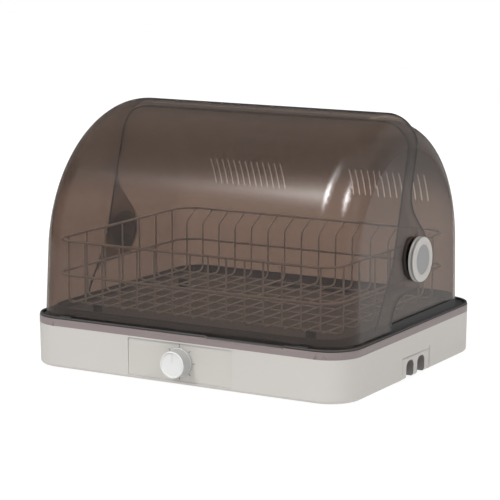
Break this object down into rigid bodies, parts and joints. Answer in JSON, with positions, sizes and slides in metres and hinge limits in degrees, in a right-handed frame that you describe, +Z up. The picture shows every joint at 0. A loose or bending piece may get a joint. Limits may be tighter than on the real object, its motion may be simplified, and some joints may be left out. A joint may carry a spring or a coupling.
{
  "type": "electric dish dryer",
  "caption": "Countertop electric dish dryer: moulded base with heater, fan and dial timer, drip tray, wire rack, fixed rear cover and a front cover that swings up and back.",
  "frame": {"origin": "middle of the whole box at floor level, under the feet", "axes": "+X to the right seen from the front, +Y to the rear, +Z up; the dial faces -Y"},
  "size_m": [0.4518, 0.3924, 0.324],
  "materials": {
    "base_white": "warm white, fine satin moulding",
    "panel_white": "warm white, a little yellower",
    "knob_white": "white, semi gloss",
    "print_grey": "printed grey",
    "rim_taupe": "taupe, semi gloss",
    "tray_dark": "dark brown grey, satin",
    "cover_smoke": "clear brown smoke tint, glossy",
    "hub_dark": "dark grey",
    "cap_grey": "light grey, satin",
    "disc_grey": "mid grey, satin",
    "rack_coat": "white coated steel wire",
    "pin_steel": "plain steel",
    "screw_steel": "zinc plated",
    "sheet_steel": "galvanised sheet",
    "motor_steel": "dark paint",
    "heater_alu": "raw fins",
    "duct_black": "black, heat resistant",
    "rubber_dark": "soft dark rubber"
  },
  "bodies": {
    "base": {"base_housing": "base_white", "bottom_plate": "sheet_steel", "rubber_feet": "rubber_dark", "base_screws": "screw_steel", "rim_band": "rim_taupe", "drip_tray": "tray_dark", "cover_rest_pads": "rubber_dark", "air_grille": "tray_dark", "drain_spout": "tray_dark", "control_panel": "panel_white", "dial_marks": "print_grey", "timer_unit": "sheet_steel", "outlet_panel": "base_white", "rear_cover": "cover_smoke", "pivot_hub_left": "hub_dark", "pivot_hub_right": "hub_dark", "pivot_spacer_left": "hub_dark", "pivot_spacer_right": "hub_dark", "pivot_pin_left": "pin_steel", "pivot_pin_right": "pin_steel", "pivot_cap_left": "cap_grey", "pivot_cap_right": "cap_grey", "cap_disc_left": "disc_grey", "cap_disc_right": "disc_grey", "fan_housing": "duct_black", "fan_lid": "duct_black", "fan_motor": "motor_steel", "heater_duct": "sheet_steel", "ptc_heater": "heater_alu", "outlet_duct": "duct_black", "thermostat": "duct_black", "thermal_fuse": "pin_steel", "terminal_block": "panel_white"},
    "front_cover": {"front_cover": "cover_smoke"},
    "dial": {"timer_knob": "knob_white", "knob_pointer": "print_grey", "timer_shaft": "pin_steel"},
    "fan": {"fan_wheel": "duct_black", "fan_shaft": "pin_steel"},
    "rack": {"rack_top_ring": "rack_coat", "rack_middle_ring": "rack_coat", "rack_front_rods": "rack_coat", "rack_rear_rods": "rack_coat", "rack_floor_rods": "rack_coat", "rack_left_rods": "rack_coat", "rack_right_rods": "rack_coat", "rack_cross_rods": "rack_coat", "rack_feet": "rubber_dark"}
  },
  "joints": [
    {"name": "cover_swing", "type": "hinge", "parent": "base", "child": "front_cover", "pos_m": [0, 0.0247, 0.146], "axis": [-1, 0, 0], "range_deg": [0, 95]},
    {"name": "dial_turn", "type": "hinge", "parent": "base", "child": "dial", "pos_m": [0, -0.1782, 0.031], "axis": [0, 1, 0], "range_deg": [0, 315]},
    {"name": "fan_spin", "type": "hinge", "parent": "base", "child": "fan", "pos_m": [-0.029, 0.0357, 0.03], "axis": [0, 0, 1], "continuous": true},
    {"name": "rack_lift", "type": "slide", "parent": "base", "child": "rack", "axis": [0, 0, 1], "range_m": [0, 0.012]}
  ]
}
